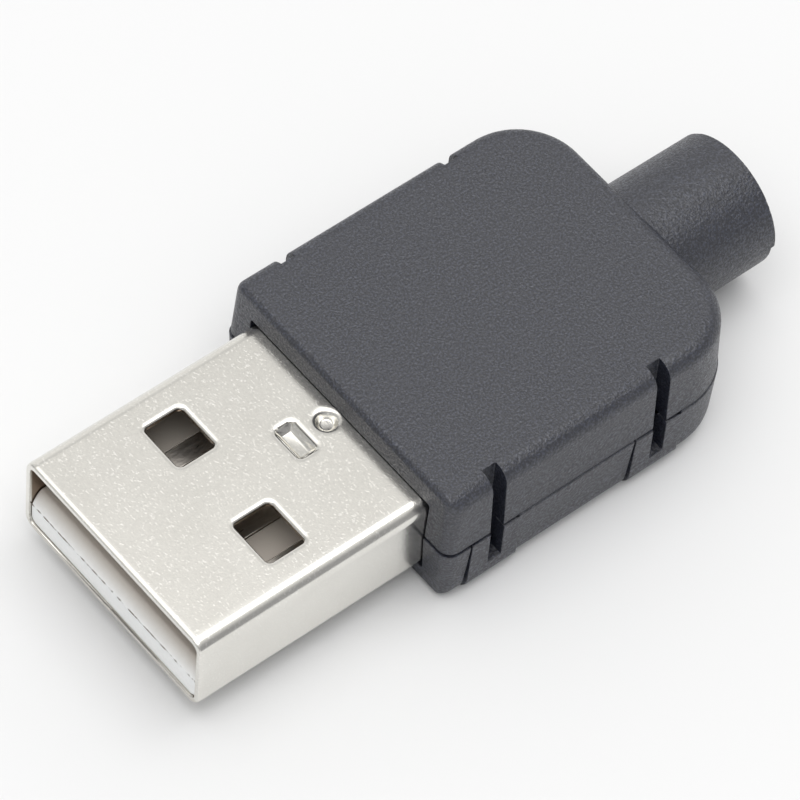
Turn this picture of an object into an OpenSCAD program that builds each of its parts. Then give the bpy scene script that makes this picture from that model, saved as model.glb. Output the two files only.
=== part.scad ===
// Solder-type USB-A plug: a folded metal plug with its contacts, held in a snap-together two-part cover.
// Millimetres, +Z up. Along X the mating end is at -X and the cable end at +X.
// The origin is under the middle of the whole part, on the surface that it lies on.
// Inside the modules, x = 0 is the mouth of the metal shell and z = 0 is the middle of its height.

/* [Metal shell] */
// Width of the shell, outside
shell_w = 12; // [11:0.1:13]
// Height of the shell, outside
shell_h = 4.5; // [4.3:0.05:5]
// Outside radius of the shell's four bends
shell_r = 0.65; // [0.5:0.05:1]
// Thickness of the sheet metal
sheet = 0.3; // [0.2:0.05:0.35]
// Length of shell that stands out of the cover
shell_out = 12; // [11.8:0.1:14]
// Length of shell held inside the cover
shell_in = 6.4; // [5.6:0.1:7]
// Width of the open joint where the folded sheet's edges meet
joint_gap = 0.03; // [0.03:0.01:0.1]
// Size of the dovetail that locks the joint, along the shell
dovetail_l = 1.6; // [1.2:0.1:2.4]
// Size of the dovetail across the joint
dovetail_w = 1.3; // [1:0.1:1.8]
// Amount by which the dovetail widens at each end
dovetail_flare = 0.26; // [0.1:0.02:0.4]

/* [Latch windows] */
// Length of each window along the shell
window_l = 2; // [1.6:0.1:2.4]
// Width of each window across the shell
window_w = 2.5; // [2:0.1:3]
// Corner radius of the windows
window_r = 0.25; // [0.1:0.05:0.4]
// Distance from the mouth to the middle of the windows
window_x = 5.9; // [5:0.1:6.5]
// Distance from the shell's middle line to the middle of a window
window_y = 3.04; // [2.7:0.02:3.4]

/* [Pressed marks] */
// Distance from the mouth to the middle of the oblong pressed pocket
pocket_x = 9.75; // [9.75:0.05:9.9]
// Size of the pocket across the shell
pocket_w = 1.8; // [1.4:0.1:2.2]
// Size of the pocket along the shell
pocket_l = 1; // [0.8:0.05:1.05]
// Corner radius of the pocket
pocket_r = 0.25; // [0.15:0.05:0.35]
// Distance from the mouth to the middle of the round pressed dimple
dimple_x = 11.42; // [11.2:0.02:11.6]
// Diameter of the dimple
dimple_d = 1.1; // [0.8:0.05:1.2]
// Depth of both pressed marks below the outside of the shell
press_depth = 0.38; // [0.32:0.02:0.44]
// Metal left round and under the pressed marks
press_wall = 0.15; // [0.1:0.01:0.2]
// How far the walls of both marks lean in from the top to the floor
press_taper = 0.25; // [0.1:0.01:0.3]

/* [Insulator] */
// Thickness of the tongue that carries the contacts
tongue_h = 1.84; // [1.7:0.02:1.95]
// Distance from the mouth back to the front of the tongue
tongue_back = 0.12; // [0.05:0.01:0.4]
// Length of the tongue's rounded nose
nose_l = 0.6; // [0.3:0.05:0.8]
// Height of the rounding
nose_h = 0.7; // [0.4:0.05:0.9]
// Depth of the mouth, from its edge to the block behind
mouth_l = 8.95; // [8.65:0.05:9]
// Length of the full-height block
block_l = 7.4; // [7:0.1:8]
// Length of the ledge behind the block that carries the solder tails
ledge_l = 3; // [2:0.1:3.4]
// Width of that ledge
ledge_w = 9.6; // [9:0.1:10]
// Depth of the reliefs behind the lower windows
relief_h = 0.6; // [0.3:0.05:0.8]
// Clearance between the insulator and the metal it holds or sits in
seat_gap = 0.03; // [0.02:0.01:0.05]

/* [Contacts] */
// Width of a contact
contact_w = 1; // [0.8:0.05:1.1]
// Thickness of a contact
contact_t = 0.3; // [0.2:0.02:0.35]
// Height of a contact's face above the tongue
contact_proud = 0.05; // [0.03:0.01:0.1]
// Distance from the middle line to the two outer contacts, power and ground
power_y = 3.5; // [3.4:0.05:3.6]
// Distance from the middle line to the two inner contacts, data
data_y = 1; // [0.95:0.05:1.1]
// Distance from the mouth to the tips of the outer contacts
power_x = 1.2; // [1.1:0.05:1.6]
// Distance from the mouth to the tips of the inner contacts
data_x = 2.2; // [2.1:0.05:2.6]
// Length of the tip that dips into the tongue
tip_l = 0.55; // [0.4:0.05:0.8]
// Depth of the dip
tip_dip = 0.4; // [0.3:0.05:0.5]
// Extra width of the barb that holds a contact in the block
barb_w = 0.3; // [0.2:0.05:0.4]
// Length of the barb
barb_l = 0.8; // [0.5:0.1:1.2]
// Width of a solder tail
solder_w = 1.3; // [1.2:0.05:1.4]
// Length of solder tail past the end of the ledge
solder_out = 0.5; // [0.2:0.1:0.8]

/* [Cover] */
// Length of the cover's body, without the cable collar
cover_l = 16.95; // [16.7:0.05:19]
// Width of the cover at its parting plane
cover_w = 15.2; // [14.8:0.1:17]
// Height of the cover above the middle of the shell
cover_up = 3.6; // [3.5:0.05:4.2]
// Depth of the cover below the middle of the shell
cover_down = 3.4; // [3.3:0.05:4.2]
// Height of the parting plane above the middle of the shell
parting_z = 0.1; // [0:0.05:0.3]
// Amount by which the sides lean in towards the top and the bottom
draft = 0.15; // [0.05:0.05:0.25]
// Rounding of the upper edge along the sides and the rear
side_round = 0.75; // [0.4:0.05:0.9]
// Rounding of the upper edge along the front
front_round = 0.34; // [0.2:0.02:0.5]
// Rounding of the lower edge along the sides and the rear
base_side_round = 1; // [0.5:0.05:1]
// Rounding of the lower edge along the front
base_front_round = 0.5; // [0.3:0.05:0.6]
// Radius of the two front corners
front_corner = 0.62; // [0.6:0.02:1.2]
// Radius that the front corners keep where they round over
corner_least = 0.155; // [0.1:0.005:0.2]
// Radius of the two rear corners
rear_corner = 3.4; // [2.5:0.1:4]
// Amount by which the lower half's outline is larger than the upper half's
half_step = 0.05; // [0.03:0.01:0.1]
// Small bevel along the edges that meet at the parting plane
seam_bevel = 0.05; // [0.03:0.01:0.08]
// Thickness of the roof and the floor over the solder bay
roof_t = 1.1; // [0.9:0.05:1.2]
// Clearance between the cover and the metal shell
shell_gap = 0.05; // [0.03:0.01:0.08]
// Corner radius of the opening that the shell comes through
mouth_r = 0.15; // [0.1:0.01:0.3]
// Width of the bay where the wires are soldered
bay_w = 10.4; // [9:0.1:10.8]
// Length of the bay, from the end of the shell
bay_l = 6.9; // [6.9:0.1:7]

/* [Side notches and snaps] */
// Distance from the cover's front to the middle of the front notches
notch_front_x = 2.74; // [2.6:0.02:3]
// Distance between the front and the rear notches
notch_pitch = 9.08; // [8.9:0.02:9.2]
// Width of a notch along the cover
notch_l = 0.74; // [0.5:0.02:0.9]
// Wall left in front of the snap arms by the notches in the left side
left_wall = 0.3; // [0.05:0.05:0.5]
// Height of the notches' lower end, below the middle of the shell
notch_down = 2; // [1.8:0.05:2.1]
// Length of a snap arm along the cover
snap_l = 2; // [1.4:0.1:2.2]
// Thickness of a snap arm
snap_t = 0.52; // [0.4:0.02:0.6]
// Reach of a snap arm below the parting plane
snap_down = 2.15; // [2:0.05:2.3]
// Height of the hook at the end of a snap arm
hook_h = 0.75; // [0.6:0.05:0.9]
// Height of the slope that leads the hook in
hook_lead = 0.375; // [0.3:0.025:0.45]
// Depth of the hook
hook_d = 0.35; // [0.25:0.05:0.4]
// Clearance round the snap arms and their hooks
snap_gap = 0.05; // [0.03:0.01:0.08]
// Length of the upright pad round a notch in the lower half, in front of the notch
pad_ahead = 0.98; // [0.9:0.02:1.1]
// Length of that pad behind the notch
pad_behind = 0.86; // [0.8:0.02:1]
// Forward lean of the pad's front end at its foot
pad_lean = 0.2; // [0.1:0.02:0.3]
// Angle at which the pad's rear end runs out into the wall
pad_end_turn = 45; // [40:1:60]
// Width of the slit in front of the pad at its top
slit_top = 0.08; // [0.05:0.01:0.12]
// Width of the slit in front of the pad at its foot
slit_foot = 0.18; // [0.15:0.01:0.3]
// Depth of the slit, and of the open seam
slit_d = 0.5; // [0.3:0.05:0.6]
// Height of the open seam over the pads and along the front
seam_gap = 0.1; // [0.05:0.01:0.12]

/* [Cable end] */
// Length of the round collar behind the body
collar_l = 5.3; // [4:0.05:8]
// Diameter of the collar where it leaves the body
collar_root_d = 6.6; // [6:0.02:6.6]
// Diameter of the collar at its end
collar_end_d = 6.54; // [5.8:0.02:6.6]
// Rounding of the collar's end
collar_round = 0.12; // [0.05:0.01:0.3]
// Amount by which the collar's lower half is slimmer and shorter than its upper half
collar_step = 0.08; // [0.05:0.01:0.12]
// Diameter of the hole for the cable
cable_d = 4.2; // [3:0.1:4.6]
// Diameter left between the ribs that grip the cable
grip_d = 3.6; // [2.6:0.1:3.8]
// Thickness of a grip rib
rib_t = 0.6; // [0.4:0.05:0.8]
// Distance from the rear of the bay to the middle of the last rib
rib_back = 1.2; // [1:0.1:1.6]
// Distance between the grip ribs
rib_pitch = 1.6; // [1.2:0.1:2]
// Gap between the upper and the lower ribs
rib_gap = 0.1; // [0.05:0.05:0.2]
// Diameter of the locating pins
pin_d = 1.2; // [1:0.05:1.4]
// Height of the locating pins above the parting plane
pin_h = 1.2; // [0.8:0.1:1.6]
// Clearance round the locating pins
pin_gap = 0.05; // [0.03:0.01:0.1]
// Distance from the middle line to a locating pin
pin_y = 4.4; // [4:0.1:4.6]
// Distance from the rear of the body to a locating pin
pin_back = 2.2; // [2:0.1:2.3]

/* [Shell lock] */
// Distance from the rear end of the shell to the middle of its lock holes
lock_back = 2.9; // [2.6:0.1:3.2]
// Size of a lock hole along the shell
lock_l = 1.6; // [1.2:0.1:1.8]
// Size of a lock hole across the shell
lock_w = 3; // [2:0.1:4]
// Depth that the cover's lock blocks reach into the shell
lock_d = 0.25; // [0.2:0.01:0.28]

/* [Hidden] */
$fn = 64;
cut = 1;                                // how far a cutting solid runs past a face
slab = 0.002;                           // thickness of the slices that a cover's form is lofted through
round_steps = 7;                        // slices through each rounded edge
side_signs = [-1, 1];

cover_rear = shell_out + cover_l;
overall_l = cover_rear + collar_l;
shell_end = shell_out + shell_in;
inner_w = shell_w - 2 * sheet;
inner_h = shell_h - 2 * sheet;
inner_r = shell_r - sheet;
tongue_top = -inner_h / 2 + tongue_h;
block_end = mouth_l + block_l;
ledge_end = block_end + ledge_l;
contact_top = tongue_top + contact_proud;
contact_end = ledge_end + solder_out;
barb_x = mouth_l + block_l / 2;
press_reach = press_depth - sheet + press_wall;
lock_x = shell_end - lock_back;
bay_end = shell_end + bay_l;
opening_w = shell_w + 2 * shell_gap;
opening_h = shell_h + 2 * shell_gap;
bay_top = cover_up - roof_t;
bay_floor = -cover_down + roof_t;
notch_xs = [for (i = [0, 1]) shell_out + notch_front_x + i * notch_pitch];
notch_back_y = opening_w / 2 + snap_t + snap_gap;
hook_top = parting_z - snap_down + hook_h;
pad_y = cover_w / 2 + half_step;

// Puts a piece drawn from the shell's mouth and middle into the part's own frame
module place() {
    translate([-overall_l / 2, 0, cover_down]) children();
}

// Extrudes a section drawn in Y and Z along X, between two stations
module along_x(from_x, to_x) {
    translate([from_x, 0, 0]) rotate([90, 0, 90]) linear_extrude(to_x - from_x) children();
}

// Extrudes a side view drawn in X and Z to a width across Y, centred at y
module across_y(width, y) {
    translate([0, y, 0]) rotate([90, 0, 0]) linear_extrude(width, center = true) children();
}

// Rectangle of size [a, b] about the origin, with round corners
module rounded_rect(a, b, r) {
    square([a - 2 * r, b], center = true);
    square([a, b - 2 * r], center = true);
    for (x = side_signs, y = side_signs)
        translate([x * (a / 2 - r), y * (b / 2 - r)]) circle(r);
}

// --- Metal shell -------------------------------------------------------------------------------

module shell_section(grow = 0) {
    rounded_rect(shell_w + 2 * grow, shell_h + 2 * grow, shell_r + grow);
}

module bore_section(shrink = 0) {
    rounded_rect(inner_w - 2 * shrink, inner_h - 2 * shrink, inner_r - shrink);
}

// Four windows for the socket's springs, two above and two below
module windows(height) {
    for (side = side_signs)
        translate([window_x, side * window_y, 0])
            linear_extrude(height, center = true) rounded_rect(window_l, window_w, window_r);
}

// Both pressed marks as solids of depth h, grown by a margin, that stand on their floors at z = 0
module press_marks(h, grow = 0) {
    l = pocket_l + 2 * grow;
    w = pocket_w + 2 * grow;
    d = dimple_d + 2 * grow;
    translate([pocket_x, 0, 0]) intersection() {
        linear_extrude(h + cut) rounded_rect(l, w, pocket_r + grow);
        along_x(-l, l) press_side(w, h);
        across_y(2 * w, 0) press_side(l, h);
    }
    translate([dimple_x, 0, 0]) {
        cylinder(h, d1 = d - 2 * press_taper, d2 = d);
        translate([0, 0, h]) cylinder(cut, d = d);
    }
}

// Side view of a mark that is w wide at the top: leaning walls, upright above the sheet
module press_side(w, h) {
    foot = w / 2 - press_taper;
    polygon([[-foot, 0], [foot, 0], [w / 2, h], [w / 2, h + cut], [-w / 2, h + cut], [-w / 2, h]]);
}

// Joint of the folded sheet along the middle of the underside, with one dovetail
module fold_joint() {
    half = dovetail_w / 2;
    x0 = window_x - dovetail_l / 2;
    translate([0, 0, -shell_h / 2 - cut]) linear_extrude(sheet + 2 * cut) {
        for (run = [[-cut, x0 + joint_gap], [x0 + dovetail_l - joint_gap, shell_end + cut]])
            translate([run[0], -joint_gap / 2]) square([run[1] - run[0], joint_gap]);
        difference() {
            translate([x0, 0]) dovetail_plan(half);
            translate([x0 + joint_gap, -2 * joint_gap])
                dovetail_plan(half + joint_gap, 2 * joint_gap);
        }
    }
}

// Trapezium that widens away from the joint line
module dovetail_plan(reach, shorter = 0) {
    l = dovetail_l - shorter;
    polygon([[0, -joint_gap / 2], [l, -joint_gap / 2], [l + dovetail_flare, reach], [-dovetail_flare, reach]]);
}

module plug_shell() {
    color("silver") place() {
        difference() {
            union() {
                along_x(0, shell_end) difference() {
                    shell_section();
                    bore_section();
                }
                intersection() {
                    along_x(0, shell_end) shell_section();
                    translate([0, 0, inner_h / 2 - press_reach]) press_marks(press_depth, press_wall);
                }
            }
            translate([0, 0, shell_h / 2 - press_depth]) press_marks(press_depth);
            windows(2 * shell_h);
            translate([lock_x, 0, 0]) cube([lock_l, lock_w, 2 * shell_h], center = true);
            fold_joint();
        }
    }
}

// --- Insulator ---------------------------------------------------------------------------------

// Section of the tongue and of the ledge: the lower part of the shell's bore, kept to a width
module tongue_section(w) {
    intersection() {
        bore_section(seat_gap);
        translate([-w / 2, tongue_top - shell_h]) square([w, shell_h]);
    }
}

// Side view of what the nose takes away: all above a curve that leaves the front face at an edge
// and runs out level into the top
module nose_cutter() {
    foot_z = tongue_top - nose_h;
    curve = [for (i = [0 : round_steps]) let (run = i / round_steps)
        [tongue_back + nose_l * run, tongue_top - nose_h * (1 - run) * (1 - run)]];
    polygon(concat(curve, [[tongue_back + nose_l, tongue_top + cut],
                           [tongue_back - cut, tongue_top + cut], [tongue_back - cut, foot_z]]));
}

module insulator() {
    color("white") place() difference() {
        union() {
            along_x(tongue_back, block_end) tongue_section(inner_w);
            along_x(mouth_l, block_end) bore_section(seat_gap);
            along_x(block_end - slab, ledge_end) tongue_section(ledge_w);
        }
        for (side = side_signs) {
            contact_form(side * power_y, power_x, seat_gap);
            contact_form(side * data_y, data_x, seat_gap);
        }
        across_y(shell_w, 0) nose_cutter();
        translate([0, 0, inner_h / 2 - press_reach - seat_gap])
            press_marks(press_depth, press_wall + seat_gap);
        translate([0, 0, -inner_h / 2 - shell_h + relief_h]) windows(2 * shell_h);
    }
}

// --- Contacts ----------------------------------------------------------------------------------

// One stamped contact, or with a margin the slot that holds it
module contact_form(y, tip_x, grow = 0) {
    top = contact_top + grow;
    under = contact_top - contact_t - grow;
    start = tip_x - grow;
    end = contact_end + (grow > 0 ? cut : 0);
    across_y(contact_w + 2 * grow, y)
        polygon([[start, top - tip_dip], [tip_x + tip_l, top], [end, top],
                 [end, under], [tip_x + tip_l, under], [start, under - tip_dip]]);
    translate([barb_x - barb_l / 2 - grow, y - (contact_w + barb_w) / 2 - grow, under])
        cube([barb_l + 2 * grow, contact_w + barb_w + 2 * grow, top - under]);
    translate([block_end, y - solder_w / 2 - grow, under])
        cube([end - block_end, solder_w + 2 * grow, top - under]);
}

module contact(y, tip_x) {
    color("gold") place() contact_form(y, tip_x);
}

// --- Cover halves ------------------------------------------------------------------------------

// How far a rounded edge of radius r lies inside the face, at distance d below the rounded end
function round_in(d, r) = d >= r ? 0 : r - sqrt(r * r - (r - d) * (r - d));

// Distances below the rounded end at which an edge of radius r is sliced
function round_levels(r) = [for (i = [0 : round_steps]) r * (1 - cos(90 * i / round_steps))];

// Body of one half, from its parting plane at z = 0 up to a height, lofted through slices
module half_body(height, side_r, front_r, proud) {
    levels = concat(round_levels(side_r), round_levels(front_r), [height - seam_bevel, height]);
    hull() for (d = levels) {
        lean = draft * (height - d) / height - proud;
        bevel = d == height ? seam_bevel : 0;
        side_in = lean + bevel + round_in(d, side_r);
        front_in = lean + bevel + round_in(d, front_r);
        front_r_here = max(front_corner - round_in(d, side_r), corner_least);
        rear_r_here = rear_corner - side_in;
        z = max(height - d - slab, 0);
        for (side = side_signs) {
            translate([shell_out + front_in + front_r_here, side * (cover_w / 2 - side_in - front_r_here), z])
                cylinder(slab, r = front_r_here, $fn = 32);
            translate([cover_rear - rear_corner, side * (cover_w / 2 - rear_corner), z])
                cylinder(slab, r = rear_r_here, $fn = 80);
        }
    }
}

// Half of the round collar on one side of the parting plane, smaller all round by a step
module half_collar(step) {
    end_r = collar_end_d / 2 - step;
    root_r = collar_root_d / 2 - step;
    end_x = overall_l - step;
    intersection() {
        rotate([0, 90, 0]) rotate_extrude() {
            polygon([[0, cover_rear - front_corner], [root_r, cover_rear - front_corner],
                     [end_r, end_x - collar_round], [end_r - collar_round, end_x], [0, end_x]]);
            translate([end_r - collar_round, end_x - collar_round]) circle(collar_round, $fn = 32);
        }
        translate([cover_rear - rear_corner, -cover_w / 2, 0]) cube([overall_l, cover_w, cover_w]);
    }
}

// Everything that is hollow in both halves
module hollows() {
    along_x(shell_out - cut, shell_end + shell_gap) rounded_rect(opening_w, opening_h, mouth_r);
    translate([shell_end, -bay_w / 2, bay_floor]) cube([bay_l, bay_w, bay_top - bay_floor]);
    translate([bay_end - cut, 0, parting_z]) rotate([0, 90, 0])
        cylinder(overall_l - bay_end + 2 * cut, d = cable_d);
}

// Upright notches in both sides, down to a given height
module notches(from_z) {
    for (x = notch_xs, right = [0, 1]) {
        back_y = notch_back_y + (right ? 0 : left_wall);
        mirror([0, right, 0]) translate([x - notch_l / 2, back_y, from_z])
            cube([notch_l, cover_w / 2 - back_y + cut, cover_up + cover_down]);
    }
}

// Ribs of one half that grip the cable, and the block that enters the shell's lock hole
module inner_parts(up) {
    ends = up > 0 ? [parting_z + rib_gap / 2, bay_top + slab] : [bay_floor - slab, parting_z - rib_gap / 2];
    lock_from = up > 0 ? shell_h / 2 - lock_d : -opening_h / 2 - slab;
    difference() {
        for (i = [0, 1])
            translate([bay_end - rib_back - i * rib_pitch - rib_t / 2, -bay_w / 2 - slab, ends[0]])
                cube([rib_t, bay_w + 2 * slab, ends[1] - ends[0]]);
        translate([shell_end, 0, parting_z]) rotate([0, 90, 0]) cylinder(bay_l, d = grip_d);
    }
    translate([lock_x - lock_l / 2 + shell_gap, -lock_w / 2 + shell_gap, lock_from])
        cube([lock_l - 2 * shell_gap, lock_w - 2 * shell_gap, lock_d + shell_gap + slab]);
}

// Four snap arms that reach down into the lower half, or with a margin the pockets for them
module snap_arms(grow = 0) {
    foot = parting_z - snap_down - grow;
    in_y = opening_w / 2 - grow;
    out_y = opening_w / 2 + snap_t + grow;
    for (x = notch_xs, side = [0, 1]) mirror([0, side, 0])
        along_x(x - snap_l / 2 - grow, x + snap_l / 2 + grow) {
            translate([in_y, foot]) square([out_y - in_y, snap_down + cut]);
            polygon([[in_y, foot], [out_y, foot], [out_y + hook_d, foot + hook_lead],
                     [out_y + hook_d, hook_top + grow], [in_y, hook_top + grow]]);
        }
}

// Two locating pins, or with a margin their holes
module pins(grow = 0) {
    for (side = side_signs)
        translate([cover_rear - pin_back, side * pin_y, parting_z - cut])
            cylinder(cut + pin_h + grow, d = pin_d + 2 * grow);
}

// Upright pads round the notches of the lower half, whose wall leans in beside them
module pads() {
    for (x = notch_xs, side = [0, 1]) mirror([0, side, 0]) intersection() {
        across_y_from(cover_w) pad_outline(x);
        along_x(0, cover_rear) pad_section();
        translate([0, 0, -cover_down - cut]) linear_extrude(cover_down + 2 * cut) pad_plan(x);
    }
}

// Upright wall of a pad and the rounding under it, in Y and Z
module pad_section() {
    middle = [pad_y - base_side_round, base_side_round - cover_down];
    translate(middle) square([base_side_round, cover_down + parting_z]);
    translate(middle) circle(base_side_round);
}

// Plan of a pad, whose rear end runs out into the wall at an angle
module pad_plan(x) {
    polygon([[shell_out, 0], [shell_out, pad_y + cut], [pad_rear(x), pad_y + cut],
             [pad_rear(x), pad_y], [pad_rear(x) + pad_y / tan(pad_end_turn), 0]]);
}

// Extrudes a side view drawn in X and Z from y = 0 outwards
module across_y_from(depth) {
    translate([0, depth, 0]) rotate([90, 0, 0]) linear_extrude(depth) children();
}

function pad_front(x) = x - notch_l / 2 - pad_ahead;
function pad_rear(x) = x + notch_l / 2 + pad_behind;
function pad_end(x) = pad_rear(x) + base_side_round / tan(pad_end_turn);

module pad_outline(x) {
    polygon([[pad_front(x), parting_z - seam_gap], [pad_end(x), parting_z - seam_gap],
             [pad_end(x), -cover_down], [pad_front(x) - pad_lean, -cover_down]]);
}

// Slits in front of the pads
module pad_slits() {
    slit_y = cover_w / 2 - slit_d;
    for (x = notch_xs, side = [0, 1]) mirror([0, side, 0]) translate([0, slit_y, 0])
        across_y_from(slit_d + cut)
            polygon([[pad_front(x), parting_z + cut], [pad_front(x), parting_z],
                     [pad_front(x) - pad_lean, -cover_down - cut],
                     [pad_front(x) - pad_lean - slit_foot, -cover_down - cut],
                     [pad_front(x) - slit_top, parting_z], [pad_front(x) - slit_top, parting_z + cut]]);
}

// Open seam between the halves: along the front and back to the end of the front pads, and over the rear pads
module open_seam() {
    translate([0, 0, parting_z - seam_gap]) {
        translate([shell_out - cut, -cover_w / 2 - cut, 0])
            cube([slit_d + cut, cover_w + 2 * cut, 2 * seam_gap]);
        for (run = [[shell_out, pad_rear(notch_xs[0])], [pad_front(notch_xs[1]), pad_rear(notch_xs[1])]])
            for (side = [0, 1]) mirror([0, side, 0])
                translate([run[0], cover_w / 2 - slit_d, 0])
                    cube([run[1] - run[0], slit_d + cut, 2 * seam_gap]);
    }
}

module top_cover() {
    color([0.29, 0.3, 0.32]) place() {
        difference() {
            translate([0, 0, parting_z]) {
                half_body(cover_up - parting_z, side_round, front_round, 0);
                half_collar(0);
            }
            hollows();
            notches(-cut);
            pins(pin_gap);
        }
        inner_parts(1);
        snap_arms_joined();
    }
}

// The snap arms, cut off where they have run into the upper half's walls
module snap_arms_joined() {
    intersection() {
        snap_arms();
        translate([0, -cover_w / 2, -cover_down])
            cube([overall_l, cover_w, cover_down + parting_z + slab]);
    }
}

module bottom_cover() {
    color([0.27, 0.28, 0.3]) place() {
        difference() {
            union() {
                translate([0, 0, parting_z]) mirror([0, 0, 1]) {
                    half_body(cover_down + parting_z, base_side_round, base_front_round, half_step);
                    half_collar(collar_step);
                }
                pads();
            }
            hollows();
            notches(-notch_down);
            snap_arms(snap_gap);
            pad_slits();
            open_seam();
        }
        inner_parts(-1);
        pins();
    }
}

plug_shell();
insulator();
contact(power_y, power_x);  // contact_power
contact(data_y, data_x);  // contact_data_minus
contact(-data_y, data_x);  // contact_data_plus
contact(-power_y, power_x);  // contact_ground
bottom_cover();
top_cover();
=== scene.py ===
from math import cos, radians, sin

import bmesh
import bpy
from mathutils import Matrix, Vector
from mathutils.bvhtree import BVHTree
from mathutils.geometry import tessellate_polygon


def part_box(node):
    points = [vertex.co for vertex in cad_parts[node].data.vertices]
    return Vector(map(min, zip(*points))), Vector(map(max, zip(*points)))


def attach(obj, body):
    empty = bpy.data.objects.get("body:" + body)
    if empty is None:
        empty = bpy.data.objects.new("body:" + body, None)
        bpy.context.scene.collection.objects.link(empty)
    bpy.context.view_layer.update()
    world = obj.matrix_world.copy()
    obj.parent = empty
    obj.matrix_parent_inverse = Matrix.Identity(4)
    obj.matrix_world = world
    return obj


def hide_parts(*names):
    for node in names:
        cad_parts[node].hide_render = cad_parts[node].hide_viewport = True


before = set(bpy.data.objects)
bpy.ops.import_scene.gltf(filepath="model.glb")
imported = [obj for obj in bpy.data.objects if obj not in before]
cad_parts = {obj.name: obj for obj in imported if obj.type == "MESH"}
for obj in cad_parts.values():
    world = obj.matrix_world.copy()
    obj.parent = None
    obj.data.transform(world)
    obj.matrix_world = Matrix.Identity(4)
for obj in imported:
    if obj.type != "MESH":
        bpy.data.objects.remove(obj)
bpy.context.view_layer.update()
MM = 0.001

# --- Nodes --------------------------------------------------------------------------------------

# Sockets of a Mix node that mixes colours. It has others of the same names, so these are numbers.
MIX_SHARE = 0
MIX_FIRST = 6
MIX_SECOND = 7
MIX_RESULT = 2


def feed(tree, node, key, value):
    """Sets an input of a node to a number, a list or a colour, or links another node's output."""
    socket = node.inputs[key]
    if isinstance(value, bpy.types.NodeSocket):
        tree.links.new(value, socket)
    elif isinstance(value, tuple):
        socket.default_value = (*value, 1)
    else:
        socket.default_value = value


def place_of(tree, axis, system="Object"):
    """The X, Y or Z of a point in the part's own frame, or in another system of places."""
    place = tree.nodes.new("ShaderNodeTexCoord")
    split = tree.nodes.new("ShaderNodeSeparateXYZ")
    feed(tree, split, "Vector", place.outputs[system])
    return split.outputs[axis]


def noise(tree, scale, stretch=(1.0, 1.0, 1.0), detail=3.0, roughness=0.6):
    """Noise in the part's own frame, with scale in features a millimetre."""
    place = tree.nodes.new("ShaderNodeTexCoord")
    mapping = tree.nodes.new("ShaderNodeMapping")
    feed(tree, mapping, "Vector", place.outputs["Object"])
    feed(tree, mapping, "Scale", [factor * scale / MM for factor in stretch])
    texture = tree.nodes.new("ShaderNodeTexNoise")
    feed(tree, texture, "Vector", mapping.outputs["Vector"])
    feed(tree, texture, "Scale", 1.0)
    feed(tree, texture, "Detail", detail)
    feed(tree, texture, "Roughness", roughness)
    return texture.outputs["Fac"]


def ramp(tree, source, stops):
    """Colour ramp over a grey source, from (position, grey or colour) pairs."""
    node = tree.nodes.new("ShaderNodeValToRGB")
    feed(tree, node, "Fac", source)
    elements = node.color_ramp.elements
    # A new element starts anywhere, since each one gets its own position below
    while len(elements) < len(stops):
        elements.new(0.5)
    for element, (position, value) in zip(elements, stops):
        element.position = position
        colour = value if isinstance(value, tuple) else (value, value, value)
        element.color = (*colour, 1)
    return node.outputs["Color"]


def calculate(tree, operation, *values):
    """Result of one Math node, from numbers and other nodes' outputs."""
    node = tree.nodes.new("ShaderNodeMath")
    node.operation = operation
    for index, value in enumerate(values):
        feed(tree, node, index, value)
    return node.outputs[0]


def product(tree, first, *others):
    """Product of all the values, so with masks it is 1 only where every mask is 1."""
    for value in others:
        first = calculate(tree, "MULTIPLY", first, value)
    return first


def near(tree, axis, middle, reach):
    """1 where the place along an axis is within reach of the middle, and 0 elsewhere."""
    offset = calculate(tree, "SUBTRACT", place_of(tree, axis), middle)
    return calculate(tree, "LESS_THAN", calculate(tree, "ABSOLUTE", offset), reach)


def share_between(tree, value, start, end):
    """Share that goes from 0 to 1 as a value goes from the start to the end."""
    node = tree.nodes.new("ShaderNodeMapRange")
    feed(tree, node, "Value", value)
    feed(tree, node, "From Min", start)
    feed(tree, node, "From Max", end)
    return node.outputs["Result"]


def mixed(tree, share, first, second):
    """Colour that goes from the first to the second as the share goes from 0 to 1."""
    node = tree.nodes.new("ShaderNodeMix")
    node.data_type = "RGBA"
    feed(tree, node, MIX_SHARE, share)
    feed(tree, node, MIX_FIRST, first)
    feed(tree, node, MIX_SECOND, second)
    return node.outputs[MIX_RESULT]


def bumped(tree, height, depth, strength, under=None):
    """Normal of a face bumped by a height source, on top of another bump where one is given."""
    node = tree.nodes.new("ShaderNodeBump")
    feed(tree, node, "Distance", depth)
    feed(tree, node, "Strength", strength)
    feed(tree, node, "Height", height)
    if under:
        feed(tree, node, "Normal", under)
    return node.outputs["Normal"]


def new_material(name):
    """Material, with its node tree and its shader."""
    material = bpy.data.materials.new(name)
    material.use_nodes = True
    tree = material.node_tree
    return material, tree, tree.nodes["Principled BSDF"]


# --- Camera -------------------------------------------------------------------------------------

# Angles in degrees. Azimuth 0 looks along +Y, and the roll turns the camera about its line of view.
CAMERA_AZIMUTH = -43.96
CAMERA_ELEVATION = 54.01
CAMERA_ROLL = 6.01
CAMERA_DISTANCE = 260.68 * MM
CAMERA_TARGET = Vector((-1.405, 0.14, 3.4)) * MM
CAMERA_CLIP = (0.01, 20.0)
# Blender counts these two in millimetres
CAMERA_SENSOR = 36.0
CAMERA_LENS = 273.14


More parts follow.
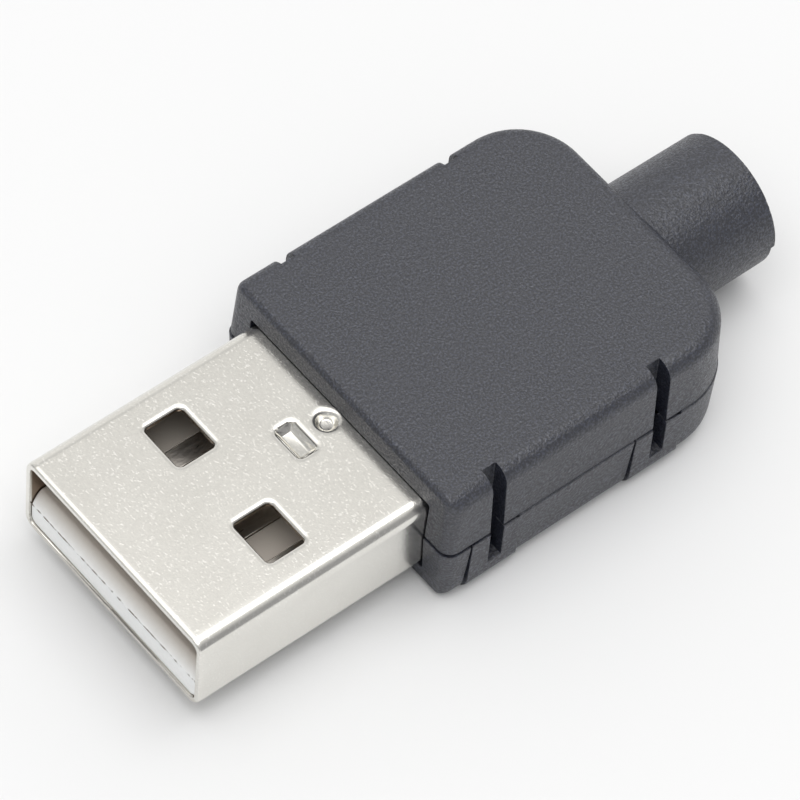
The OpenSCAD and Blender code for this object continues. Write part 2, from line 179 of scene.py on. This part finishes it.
def add_camera():
    """Camera that looks at its target from the photograph's angle."""
    azimuth = radians(CAMERA_AZIMUTH)
    elevation = radians(CAMERA_ELEVATION)
    roll = radians(CAMERA_ROLL)
    back = Vector((sin(azimuth) * cos(elevation), -cos(azimuth) * cos(elevation), sin(elevation)))
    level_right = Vector((cos(azimuth), sin(azimuth), 0))
    level_up = back.cross(level_right)
    right = level_right * cos(roll) + level_up * sin(roll)
    up = back.cross(right)
    data = bpy.data.cameras.new("camera")
    data.sensor_width = CAMERA_SENSOR
    data.lens = CAMERA_LENS
    data.clip_start, data.clip_end = CAMERA_CLIP
    camera = bpy.data.objects.new("camera", data)
    bpy.context.scene.collection.objects.link(camera)
    axes = Matrix((right, up, back)).transposed().to_4x4()
    camera.matrix_world = Matrix.Translation(CAMERA_TARGET + back * CAMERA_DISTANCE) @ axes
    bpy.context.scene.camera = camera


# --- Light and floor ----------------------------------------------------------------------------

SOFTBOX_PLACE = Vector((-0.16, -0.14, 0.62))
SOFTBOX_SIZE = 0.62
SOFTBOX_POWER = 1.0
TOP_LAMP_PLACE = Vector((0.27, -0.03, 0.60))
TOP_LAMP_SIZE = 0.30
TOP_LAMP_POWER = 0.28

# Tones of the studio by height, from the horizon at 0 to straight overhead at 1
STUDIO_LEVELS = [
    (0.0, (0.29, 0.292, 0.296)),
    (0.45, (0.30, 0.302, 0.305)),
    (0.72, (0.41, 0.408, 0.402)),
    (0.83, (0.45, 0.447, 0.44)),
    (0.875, (1.0, 0.99, 0.98)),
    (1.0, (1.0, 0.99, 0.98)),
]
STUDIO_STRENGTH = 1.67

# Two upright panels: the way from the part to each one's middle, and its tone
BACKDROP_WAY = Vector((0.694, 0.719, 0.0))
BACKDROP_TONE = (0.56, 0.557, 0.55)
FLAG_WAY = Vector((0.40, -0.917, 0.0))
FLAG_TONE = (0.22, 0.22, 0.225)
# Where a panel begins and where it is full: by the cosine of the angle from its middle at its
# sides, and by height at its top
PANEL_SIDES = (0.45, 0.8)
PANEL_TOP = (0.75, 0.5)

FLOOR_SIZE = 3.0
FLOOR_TONE = (0.84, 0.845, 0.85)
FLOOR_ROUGHNESS = 0.7


def add_lamp(name, place, size, power):
    """Round lamp that faces the part."""
    data = bpy.data.lights.new(name, "AREA")
    data.shape = "DISK"
    data.size = size
    data.energy = power
    lamp = bpy.data.objects.new(name, data)
    bpy.context.scene.collection.objects.link(lamp)
    lamp.location = place
    lamp.rotation_euler = (-place).to_track_quat("-Z", "Y").to_euler()


def stand_panel(tree, colour, way, tone):
    """Upright panel of one tone that stands on one side of the part, under the ceiling."""
    place = tree.nodes.new("ShaderNodeTexCoord")
    facing = tree.nodes.new("ShaderNodeVectorMath")
    facing.operation = "DOT_PRODUCT"
    feed(tree, facing, 0, place.outputs["Generated"])
    feed(tree, facing, 1, way)
    across = share_between(tree, facing.outputs["Value"], *PANEL_SIDES)
    under = share_between(tree, place_of(tree, "Z", "Generated"), *PANEL_TOP)
    return mixed(tree, product(tree, across, under), colour, tone)


def set_world():
    """A pale studio, dark towards the horizon, with a broad bright ceiling and two panels."""
    world = bpy.data.worlds.new("studio")
    bpy.context.scene.world = world
    world.use_nodes = True
    tree = world.node_tree
    tree.nodes.clear()
    colour = ramp(tree, place_of(tree, "Z", "Generated"), STUDIO_LEVELS)
    for way, tone in ((BACKDROP_WAY, BACKDROP_TONE), (FLAG_WAY, FLAG_TONE)):
        colour = stand_panel(tree, colour, way, tone)
    shade = tree.nodes.new("ShaderNodeBackground")
    feed(tree, shade, "Color", colour)
    feed(tree, shade, "Strength", STUDIO_STRENGTH)
    out = tree.nodes.new("ShaderNodeOutputWorld")
    feed(tree, out, "Surface", shade.outputs["Background"])


def add_floor():
    mesh = bpy.data.meshes.new("floor")
    half = FLOOR_SIZE / 2
    corners = [(-half, -half, 0), (half, -half, 0), (half, half, 0), (-half, half, 0)]
    mesh.from_pydata(corners, [], [(0, 1, 2, 3)])
    floor = bpy.data.objects.new("floor", mesh)
    bpy.context.scene.collection.objects.link(floor)
    material, tree, shader = new_material("floor_paper")
    feed(tree, shader, "Base Color", FLOOR_TONE)
    feed(tree, shader, "Roughness", FLOOR_ROUGHNESS)
    mesh.materials.append(material)


# --- Sizes of small forms -----------------------------------------------------------------------

# Sheet of the shell, as in the CAD, and how far off a plane a point may be to count as on it
SHEET = 0.3 * MM
PLANE_REACH = 0.01 * MM

# Rounds of the edges. The shell's are longer along X, as at a mouth that was rolled in.
COVER_ROUND = 0.035 * MM
INSULATOR_ROUND = 0.05 * MM
CONTACT_ROUND = 0.03 * MM
SHELL_ROUND = 0.03 * MM
MOUTH_ROUND = 0.08 * MM
SHELL_STRETCH = 3.0

# Rolled rims of the shell's holes: how far each reaches over the face, and down the wall
WINDOW_ROUND = (0.22 * MM, 0.15 * MM)
MARK_ROUND = (0.24 * MM, 0.12 * MM)
ROLL_STEPS = 5
# Flat bands beside the outside and beside each rim, which keep the light on the flat face even
OUTER_BAND = 0.3 * MM
HOLE_BAND = 0.04 * MM

# The pressed marks on top and the joint underneath lie this near the shell's middle line. The
# marks also lie this far behind its mouth.
MIDDLE_REACH = 1.2 * MM
MARKS_FROM = 8.0 * MM


# --- Materials ----------------------------------------------------------------------------------

COVER_PITS = (0.001, 0.002, 0.010)
COVER_PEAKS = (0.040, 0.047, 0.074)
COVER_CLOUDS = (0.012, 0.015, 0.025)
# How much of the clouds shows over the pits and peaks of the grain
CLOUD_SHARE = 0.3


def cover_plastic():
    """Black plastic with the fine grain of a spark-eroded mould, seen mostly by its sheen."""
    material, tree, shader = new_material("cover_plastic")
    grain = noise(tree, scale=6.0, roughness=0.65)
    speckle = noise(tree, scale=10.0, detail=1.0)
    cloud = noise(tree, scale=0.5, detail=2.0)
    pitted = ramp(tree, speckle, [(0.46, COVER_PITS), (0.70, COVER_PEAKS)])
    clouded = mixed(tree, cloud, pitted, COVER_CLOUDS)
    feed(tree, shader, "Base Color", mixed(tree, CLOUD_SHARE, pitted, clouded))
    feed(tree, shader, "Roughness", ramp(tree, speckle, [(0.35, 0.52), (0.65, 0.30)]))
    feed(tree, shader, "Specular IOR Level", 1.0)
    normal = bumped(tree, grain, depth=0.07 * MM, strength=0.9)
    normal = bumped(tree, speckle, depth=0.035 * MM, strength=0.8, under=normal)
    feed(tree, shader, "Normal", normal)
    return material


NICKEL_DULL = (0.76, 0.745, 0.70)
NICKEL_CLEAR = (0.80, 0.785, 0.74)
NICKEL_FLECKS = (0.90, 0.885, 0.845)
# Painted shade: the brown given to the shell's lining, the walls of its windows and the foot of its
# mouth
NICKEL_PAINTED_SHADE = (0.30, 0.235, 0.18)
# The painted brown shade of the inside starts this deep under the outer faces, and stays this far off
# the bends
SKIN = 0.14 * MM
BEND_CLEAR = 1.0 * MM
# How much of the painted brown shade shows at the foot of the mouth
FOOT_SHADE = 0.2


def shell_painted_shade(tree):
    """Painted brown shade: 1 on the shell's lining and window walls, and a little at its mouth's
    foot.
    """
    low, high = (Vector(corner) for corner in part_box("plug_shell"))
    middle_z = (low.z + high.z) / 2
    half_z = high.z - middle_z
    lining = product(tree, near(tree, "Z", middle_z, half_z - SHEET + PLANE_REACH),
                     near(tree, "Y", 0.0, high.y - SHEET + PLANE_REACH))
    hole_walls = product(tree, near(tree, "Z", middle_z, half_z - SKIN),
                         near(tree, "Y", 0.0, high.y - BEND_CLEAR))
    far_back = calculate(tree, "GREATER_THAN", place_of(tree, "X"), low.x + MARKS_FROM)
    marks = product(tree, near(tree, "Y", 0.0, MIDDLE_REACH), far_back)
    past_mouth = calculate(tree, "GREATER_THAN", place_of(tree, "X"), low.x + SKIN)
    inside = product(tree, calculate(tree, "MAXIMUM", lining, hole_walls),
                     calculate(tree, "SUBTRACT", 1.0, marks), past_mouth)
    # A little of the painted shade also goes on the foot of the mouth
    foot = product(tree, near(tree, "X", low.x, SKIN), near(tree, "Z", low.z, SHEET + SKIN),
                   FOOT_SHADE)
    return calculate(tree, "MAXIMUM", inside, foot)


def shell_nickel():
    """Nickel-plated sheet: fine grain and sparse bright flecks outside, and brown shade painted
    inside.
    """
    material, tree, shader = new_material("shell_nickel")
    grain = noise(tree, scale=9.0, stretch=(1.0, 0.7, 1.0))
    fleck = noise(tree, scale=10.0, stretch=(1.2, 0.6, 1.0), detail=1.0)
    cloud = noise(tree, scale=0.35)
    peaks = ramp(tree, fleck, [(0.60, 0.0), (0.71, 1.0)])
    plating = ramp(tree, cloud, [(0.3, NICKEL_DULL), (0.7, NICKEL_CLEAR)])
    outside = mixed(tree, peaks, plating, NICKEL_FLECKS)
    # Over the plating, the inside of the shell gets the painted brown shade
    feed(tree, shader, "Base Color", mixed(tree, shell_painted_shade(tree), outside, NICKEL_PAINTED_SHADE))
    feed(tree, shader, "Roughness", ramp(tree, grain, [(0.3, 0.24), (0.7, 0.15)]))
    feed(tree, shader, "Metallic", 1.0)
    normal = bumped(tree, grain, depth=0.003 * MM, strength=0.4)
    normal = bumped(tree, peaks, depth=0.003 * MM, strength=0.4, under=normal)
    feed(tree, shader, "Normal", normal)
    return material


WHITE_DULL = (0.88, 0.89, 0.885)
WHITE_CLEAR = (0.93, 0.94, 0.935)
# Painted shade and painted reflection of the shell's brown inside, up the nose
WHITE_NOSE_SHADE = (0.50, 0.43, 0.35)
WHITE_LINE = (0.13, 0.09, 0.07)
# Painted shade inside the shell, on the side of +Y and on the side of -Y
WHITE_PAINTED_SHADE = ((0.36, 0.335, 0.30), (0.60, 0.55, 0.49))
# Width of the dark line, height of the painted shade up the nose, and how far in the painted shade
# behind the nose begins and is full
NOSE_LINE_WIDTH = 0.08 * MM
NOSE_SHADE_HEIGHT = 1.0 * MM
SHADE_FROM = 1.5 * MM
SHADE_FULL = 3.5 * MM


def white_plastic():
    """White tongue plastic with painted shade up and behind its nose, and a dark broken line along
    the nose's foot.
    """
    material, tree, shader = new_material("white_plastic")
    low, high = (Vector(corner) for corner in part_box("insulator"))
    points = [vertex.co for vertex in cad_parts["insulator"].data.vertices]
    nose_foot = max(point.z for point in points if point.x < low.x + PLANE_REACH)
    grain = noise(tree, scale=4.0)
    tone = ramp(tree, grain, [(0.3, WHITE_DULL), (0.7, WHITE_CLEAR)])
    # Painted shade and reflection, growing up the nose from its foot
    up_nose_shade = share_between(tree, place_of(tree, "Z"), nose_foot, nose_foot + NOSE_SHADE_HEIGHT)
    tone = mixed(tree, up_nose_shade, tone, WHITE_NOSE_SHADE)
    # Painted shade deeper inside the shell, darker on the side of +Y
    across = share_between(tree, place_of(tree, "Y"), high.y, low.y)
    deep = share_between(tree, place_of(tree, "X"), low.x + SHADE_FROM, low.x + SHADE_FULL)
    tone = mixed(tree, deep, tone, mixed(tree, across, *WHITE_PAINTED_SHADE))
    breaks = ramp(tree, noise(tree, scale=2.0, detail=4.0, roughness=0.75),
                  [(0.46, 0.0), (0.54, 1.0)])
    # A dark broken line of this width along the nose's foot, in the base colour
    line = product(tree, near(tree, "Z", nose_foot, NOSE_LINE_WIDTH / 2),
                   near(tree, "X", low.x, NOSE_LINE_WIDTH), breaks)
    feed(tree, shader, "Base Color", mixed(tree, line, tone, WHITE_LINE))
    feed(tree, shader, "Roughness", ramp(tree, grain, [(0.3, 0.48), (0.7, 0.38)]))
    feed(tree, shader, "Normal", bumped(tree, grain, depth=0.008 * MM, strength=0.5))
    return material


CONTACT_DULL = (0.62, 0.58, 0.53)
CONTACT_CLEAR = (0.86, 0.82, 0.76)


def contact_metal():
    """Stamped spring metal, bright and finely scored along its length."""
    material, tree, shader = new_material("contact_metal")
    streak = noise(tree, scale=6.0, stretch=(0.2, 1.0, 1.0))
    feed(tree, shader, "Base Color", ramp(tree, streak, [(0.3, CONTACT_DULL), (0.7, CONTACT_CLEAR)]))
    feed(tree, shader, "Roughness", ramp(tree, streak, [(0.3, 0.42), (0.7, 0.26)]))
    feed(tree, shader, "Metallic", 1.0)
    feed(tree, shader, "Normal", bumped(tree, streak, depth=0.010 * MM, strength=0.8))
    return material


# --- Rounded edges ------------------------------------------------------------------------------

# Points nearer than this are one point, and faces that meet more flatly than this are one face
WELD = 0.003 * MM
FLAT_ANGLE = radians(1.0)
# Edges sharper than this are rounded
SHARP_ANGLE = radians(30.0)
BEVEL_SEGMENTS = 3
# A point of a round farther than this from the CAD form is a stray, as a share of the widest round
STRAY_SHARE = 0.5


def joined_form(node_name):
    """The CAD node's form as a bmesh, with its flat faces joined up from their triangles."""
    form = bmesh.new()
    form.from_mesh(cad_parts[node_name].data)
    bmesh.ops.remove_doubles(form, verts=form.verts, dist=WELD)
    bmesh.ops.dissolve_limit(form, angle_limit=FLAT_ANGLE, verts=form.verts, edges=form.edges)
    return form


def set_edge_rounds(form, round_of, sharp_angle):
    """Marks each sharp edge with its rounding, as a share of the widest, which is returned."""
    weight = form.edges.layers.float.new("bevel_weight_edge")
    rounds = [(edge, round_of(edge.verts[0].co, edge.verts[1].co)) for edge in form.edges
              if len(edge.link_faces) == 2 and edge.calc_face_angle(0) > sharp_angle]
    widest = max(size for _, size in rounds)
    for edge, size in rounds:
        edge[weight] = size / widest
    return widest


def apply_modifiers(piece):
    """Gives a piece the mesh that its modifiers make of it, and takes them off."""
    shown = piece.evaluated_get(bpy.context.evaluated_depsgraph_get())
    mesh = bpy.data.meshes.new_from_object(shown)
    piece.modifiers.clear()
    piece.data = mesh


def pull_in_strays(piece, skin, reach, nodes):
    """Puts back on the CAD form what the rounding has thrown clear of it or out of its box."""
    boxes = [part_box(node) for node in nodes]
    low = [min(box[0][axis] for box in boxes) for axis in range(3)]
    high = [max(box[1][axis] for box in boxes) for axis in range(3)]
    for vertex in piece.data.vertices:
        nearest, _, _, distance = skin.find_nearest(vertex.co)
        place = nearest if distance > reach else vertex.co
        vertex.co = [min(max(place[axis], low[axis]), high[axis]) for axis in range(3)]


def finish_piece(form, name, material, nodes, round_of, sharp_angle=SHARP_ANGLE, stretch=1.0):
    """Turns a bmesh into a piece with rounded edges that stands for the given CAD nodes.

    The rounds are longer along X by the stretch, because they are made while X is squeezed by it.
    """
    widest = set_edge_rounds(form, round_of, sharp_angle)
    skin = BVHTree.FromBMesh(form)
    mesh = bpy.data.meshes.new(name)
    for vertex in form.verts:
        vertex.co.x /= stretch
    form.normal_update()
    form.to_mesh(mesh)
    form.free()
    piece = bpy.data.objects.new(name, mesh)
    bpy.context.scene.collection.objects.link(piece)
    mesh.materials.append(material)
    mesh.shade_smooth()
    bevel = piece.modifiers.new("edges", "BEVEL")
    bevel.width = widest
    bevel.segments = BEVEL_SEGMENTS
    bevel.limit_method = "WEIGHT"
    bevel.use_clamp_overlap = False
    bevel.loop_slide = False
    apply_modifiers(piece)
    for vertex in piece.data.vertices:
        vertex.co.x *= stretch
    pull_in_strays(piece, skin, STRAY_SHARE * widest * stretch, nodes)
    weighted = piece.modifiers.new("normals", "WEIGHTED_NORMAL")
    weighted.keep_sharp = True
    apply_modifiers(piece)
    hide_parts(*nodes)
    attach(piece, "root")


# --- Rolled rims of holes -----------------------------------------------------------------------

# In this section, facing is 1 for a flat face that looks up and -1 for one that looks down.
FLAT_COSINE = 0.999
# Least cosine to divide by at a corner, so that its reach is at most twice that of a straight side
MITRE_COSINE = 0.5


def plane_loops(form, height, facing):
    """Ordered outlines of the flat faces at a height, which are taken off the form."""
    def on_plane(item):
        return all(abs(vertex.co.z - height) < PLANE_REACH for vertex in item.verts)

    flat = [face for face in form.faces if face.normal.z * facing > FLAT_COSINE and on_plane(face)]
    bmesh.ops.delete(form, geom=flat, context="FACES_ONLY")
    inner = [edge for edge in form.edges if not edge.link_faces]
    bmesh.ops.delete(form, geom=inner, context="EDGES")
    rim = dict.fromkeys(edge for edge in form.edges
                        if len(edge.link_faces) == 1 and on_plane(edge))
    loops = []
    while rim:
        edge, _ = rim.popitem()
        loop = [edge.verts[0], edge.verts[1]]
        while True:
            following = next((edge for edge in loop[-1].link_edges if edge in rim), None)
            if following is None:
                break
            del rim[following]
            loop.append(following.other_vert(loop[-1]))
        if loop[0] is loop[-1]:
            loop.pop()
        loops.append(loop)
    return loops


def outward(loop, index):
    """Direction in the plane away from a hole at a point of its outline, longer at a corner."""
    here = loop[index].co
    back = (here - loop[index - 1].co).normalized()
    ahead = (loop[(index + 1) % len(loop)].co - here).normalized()
    across = Vector((back.y + ahead.y, -back.x - ahead.x, 0)).normalized()
    reach = 1 / max(across.dot(Vector((back.y, -back.x, 0))), MITRE_COSINE)
    area = sum(a.co.x * b.co.y - b.co.x * a.co.y for a, b in zip(loop, loop[1:] + loop[:1]))
    return across * reach * (1 if area > 0 else -1)


def down_the_wall(vertex, away, facing):
    """Direction straight down the wall from a point of the outline, given the way off the hole."""
    along = Vector((-away.y, away.x, 0))
    ways = [edge.other_vert(vertex).co - vertex.co for edge in vertex.link_edges]
    ways = [way.normalized() for way in ways if way.z * facing < -PLANE_REACH]
    return min(ways, key=lambda way: abs(way.dot(along))) if ways else Vector((0, 0, -facing))


def bridge(form, ring, following, facing):
    """Faces from each point of one outline to the same point of the next."""
    for i in range(len(ring)):
        j = (i + 1) % len(ring)
        corners = [ring[i], ring[j], following[j], following[i]]
        form.faces.new(corners if facing > 0 else corners[::-1])


def band(form, loop, size, facing):
    """Flat band beside an outline, away from it by size. Returns the band's far outline."""
    far = [form.verts.new(vertex.co + outward(loop, i) * size) for i, vertex in enumerate(loop)]
    bridge(form, loop, far, facing)
    return far


def roll_rim(form, loop, reach, depth, facing):
    """Rolls the edge of a hole over, and returns the new outline of the hole in the flat face."""
    ways = [outward(loop, i) for i in range(len(loop))]
    rims = [vertex.co.copy() for vertex in loop]
    tops = [rim + way * reach for rim, way in zip(rims, ways)]
    feet = [rim + down_the_wall(vertex, way, facing) * depth
            for vertex, rim, way in zip(loop, rims, ways)]
    ring = loop
    for step in range(1, ROLL_STEPS + 1):
        t = step / ROLL_STEPS
        points = [foot * (1 - t) ** 2 + rim * 2 * t * (1 - t) + top * t ** 2
                  for foot, rim, top in zip(feet, rims, tops)]
        following = [form.verts.new(point) for point in points]
        bridge(form, ring, following, facing)
        ring = following
    for vertex, foot in zip(loop, feet):
        vertex.co = foot
    return ring


def fill_plane(form, loops, facing):
    """Flat face with holes between the outlines, the outermost first."""
    points = [vertex for loop in loops for vertex in loop]
    for corners in tessellate_polygon([[vertex.co for vertex in loop] for loop in loops]):
        face = [points[i] for i in corners]
        normal = (face[1].co - face[0].co).cross(face[2].co - face[0].co)
        form.faces.new(face if normal.z * facing > 0 else face[::-1])


def roll_holes(form, height, facing, size_of, side_of):
    """Rolls over the holes in the flat faces at a height.

    size_of gives a hole's reach and depth, and side_of the face that an outline belongs to, each
    from the outline's middle. The outermost outline of a face is the one that starts nearest -X.
    """
    sides = {}
    for loop in plane_loops(form, height, facing):
        middle = sum((vertex.co for vertex in loop), Vector()) / len(loop)
        sides.setdefault(side_of(middle), []).append((loop, middle))
    for group in sides.values():
        group.sort(key=lambda entry: min(vertex.co.x for vertex in entry[0]))
        rolled = [band(form, group[0][0], -OUTER_BAND, facing)]
        for loop, middle in group[1:]:
            rim = roll_rim(form, loop, *size_of(middle), facing)
            rolled.append(band(form, rim, HOLE_BAND, facing))
        fill_plane(form, rolled, facing)
    bmesh.ops.recalc_face_normals(form, faces=form.faces)


# --- Pieces -------------------------------------------------------------------------------------

# The insulator's nose leans so little that its edges are rounded from this angle on
NOSE_ANGLE = radians(20.0)


def add_cover(node_name, material):
    finish_piece(joined_form(node_name), node_name + "_moulding", material,
                 [node_name], lambda a, b: COVER_ROUND)


def shell_round(low, high):
    """Rounding of the shell's edges: wider round its mouth, and none on the joint underneath."""
    middle_z = (low.z + high.z) / 2
    inner_y = high.y - SHEET
    inner_z = high.z - SHEET - middle_z

    def at_mouth(point):
        in_wall = (abs(point.y) > inner_y + PLANE_REACH
                   or abs(point.z - middle_z) > inner_z + PLANE_REACH)
        return point.x < low.x + PLANE_REACH and in_wall

    def round_of(a, b):
        if at_mouth(a) and at_mouth(b):
            return MOUTH_ROUND
        on_joint = max(abs(a.y), abs(b.y)) < MIDDLE_REACH and max(a.z, b.z) < middle_z
        return 0 if on_joint else SHELL_ROUND

    return round_of


def add_shell(material):
    """The shell, with its holes rolled over on top and on both halves of its underside."""
    low, high = (Vector(corner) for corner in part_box("plug_shell"))
    form = joined_form("plug_shell")
    roll_holes(form, high.z, 1, lambda at: MARK_ROUND if abs(at.y) < MIDDLE_REACH else WINDOW_ROUND,
               lambda at: 0)
    roll_holes(form, low.z, -1, lambda at: WINDOW_ROUND, lambda at: at.y > 0)
    finish_piece(form, "pressed_shell", material, ["plug_shell"],
                 shell_round(low, high), stretch=SHELL_STRETCH)


def add_insulator(material):
    low, _ = (Vector(corner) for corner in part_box("insulator"))

    def round_of(a, b):
        below = max(a.z, b.z) < low.z + PLANE_REACH
        return 0 if below else INSULATOR_ROUND

    finish_piece(joined_form("insulator"), "contact_carrier", material,
                 ["insulator"], round_of, NOSE_ANGLE)


def add_contacts(material):
    names = [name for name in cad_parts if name.startswith("contact_")]
    for name in names:
        finish_piece(joined_form(name), name.replace("contact", "blade"), material,
                     [name], lambda a, b: CONTACT_ROUND)


add_camera()
set_world()
add_lamp("softbox", SOFTBOX_PLACE, SOFTBOX_SIZE, SOFTBOX_POWER)
add_lamp("top_lamp", TOP_LAMP_PLACE, TOP_LAMP_SIZE, TOP_LAMP_POWER)
add_floor()
cover_material = cover_plastic()
add_cover("top_cover", cover_material)
add_cover("bottom_cover", cover_material)
add_shell(shell_nickel())
add_insulator(white_plastic())
add_contacts(contact_metal())
bpy.context.scene.view_settings.view_transform = "Standard"
